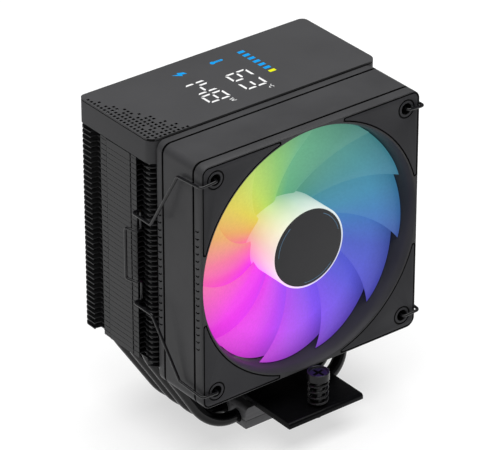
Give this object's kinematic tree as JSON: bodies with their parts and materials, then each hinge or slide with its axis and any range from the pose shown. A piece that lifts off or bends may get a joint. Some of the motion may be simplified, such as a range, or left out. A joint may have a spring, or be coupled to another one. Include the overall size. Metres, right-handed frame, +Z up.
{
  "type": "cpu tower cooler",
  "caption": "Tower CPU cooler: a black fin stack on bent heat pipes, a lit fan held to its front by wire clips, and a display set into its top cover.",
  "frame": {"origin": "centre of the cold plate's contact face, where it touches the processor", "axes": "+Z up, away from the processor and along the fin stack; the fan is on the -Y side and blows towards +Y; X is the width"},
  "size_m": [0.1326, 0.1024, 0.1542],
  "materials": {
    "nickel_plate": "satin dark nickel, with a fine-ground contact face",
    "block_grey": "satin dark grey, cast and machined",
    "pipe_black": "semi-gloss black plating",
    "bar_black": "gloss black",
    "screw_steel": "black-nickel steel",
    "spring_steel": "dark spring steel",
    "clip_steel": "black-coated spring wire",
    "fin_black": "satin black aluminium sheet",
    "cover_plastic": "fine matte dark grey",
    "tray_metal": "zinc-plated sheet",
    "board_black": "solder mask",
    "chip_black": "moulded",
    "socket_white": "moulded",
    "light_guide": "translucent, lit in blue, white and yellow",
    "fan_black": "satin moulded black",
    "pad_rubber": "matte",
    "rotor_clear": "frosted translucent, lit from the hub",
    "cap_black": "fine matte",
    "motor_steel": "plain",
    "ferrite": "bonded magnet",
    "bronze": "sintered",
    "copper_wire": "enamelled winding",
    "board_white": "white solder mask"
  },
  "bodies": {
    "cooler": {"cold_plate": "nickel_plate", "base_block": "block_grey", "heat_pipe_1": "pipe_black", "heat_pipe_2": "pipe_black", "heat_pipe_3": "pipe_black", "heat_pipe_4": "pipe_black", "crossbar": "bar_black", "crossbar_bolt_left": "screw_steel", "crossbar_bolt_right": "screw_steel", "screw_spring_front": "spring_steel", "screw_spring_rear": "spring_steel", "fin_stack": "fin_black", "top_panel": "cover_plastic", "cover_skirt": "cover_plastic", "cover_tray": "tray_metal", "display_board": "board_black", "board_screw_1": "screw_steel", "board_screw_2": "screw_steel", "board_screw_3": "screw_steel", "board_screw_4": "screw_steel", "driver_chip": "chip_black", "cable_socket": "socket_white", "display_light_guide": "light_guide", "fan_frame": "fan_black", "corner_pad_top_left": "pad_rubber", "corner_pad_top_right": "pad_rubber", "corner_pad_bottom_left": "pad_rubber", "corner_pad_bottom_right": "pad_rubber", "bearing_sleeve": "bronze", "stator_core": "motor_steel", "stator_coil_1": "copper_wire", "stator_coil_2": "copper_wire", "stator_coil_3": "copper_wire", "stator_coil_4": "copper_wire", "motor_board": "board_black", "led_board": "board_white"},
    "rotor": {"fan_rotor": "rotor_clear", "hub_cap": "cap_black", "rotor_yoke": "motor_steel", "magnet_ring": "ferrite", "fan_shaft": "motor_steel", "shaft_clip": "cap_black"},
    "clip_left": {"fan_clip_left": "clip_steel"},
    "clip_right": {"fan_clip_right": "clip_steel"},
    "screw_slide_front": {"screw_clip_front": "spring_steel"},
    "screw_front": {"spring_screw_front": "screw_steel"},
    "screw_slide_rear": {"screw_clip_rear": "spring_steel"},
    "screw_rear": {"spring_screw_rear": "screw_steel"}
  },
  "joints": [
    {"name": "fan_spin", "type": "hinge", "parent": "cooler", "child": "rotor", "pos_m": [0, -0.0235, 0.0935], "axis": [0, -1, 0], "continuous": true},
    {"name": "clip_left_swing", "type": "hinge", "parent": "cooler", "child": "clip_left", "pos_m": [-0.0525, -0.0395, 0.0935], "axis": [0, 0, 1], "range_deg": [0, 75]},
    {"name": "clip_right_swing", "type": "hinge", "parent": "cooler", "child": "clip_right", "pos_m": [0.0525, -0.0395, 0.0935], "axis": [0, 0, -1], "range_deg": [0, 75]},
    {"name": "screw_front_press", "type": "slide", "parent": "cooler", "child": "screw_slide_front", "axis": [0, 0, -1], "range_m": [0, 0.005], "stiffness_N_per_m": 800, "springref_m": -0.002, "deforming": ["screw_spring_front"]},
    {"name": "screw_front_turn", "type": "hinge", "parent": "screw_slide_front", "child": "screw_front", "pos_m": [0, -0.045, 0.02], "axis": [0, 0, 1], "continuous": true},
    {"name": "screw_rear_press", "type": "slide", "parent": "cooler", "child": "screw_slide_rear", "axis": [0, 0, -1], "range_m": [0, 0.005], "stiffness_N_per_m": 800, "springref_m": -0.002, "deforming": ["screw_spring_rear"]},
    {"name": "screw_rear_turn", "type": "hinge", "parent": "screw_slide_rear", "child": "screw_rear", "pos_m": [0, 0.045, 0.02], "axis": [0, 0, 1], "continuous": true}
  ]
}
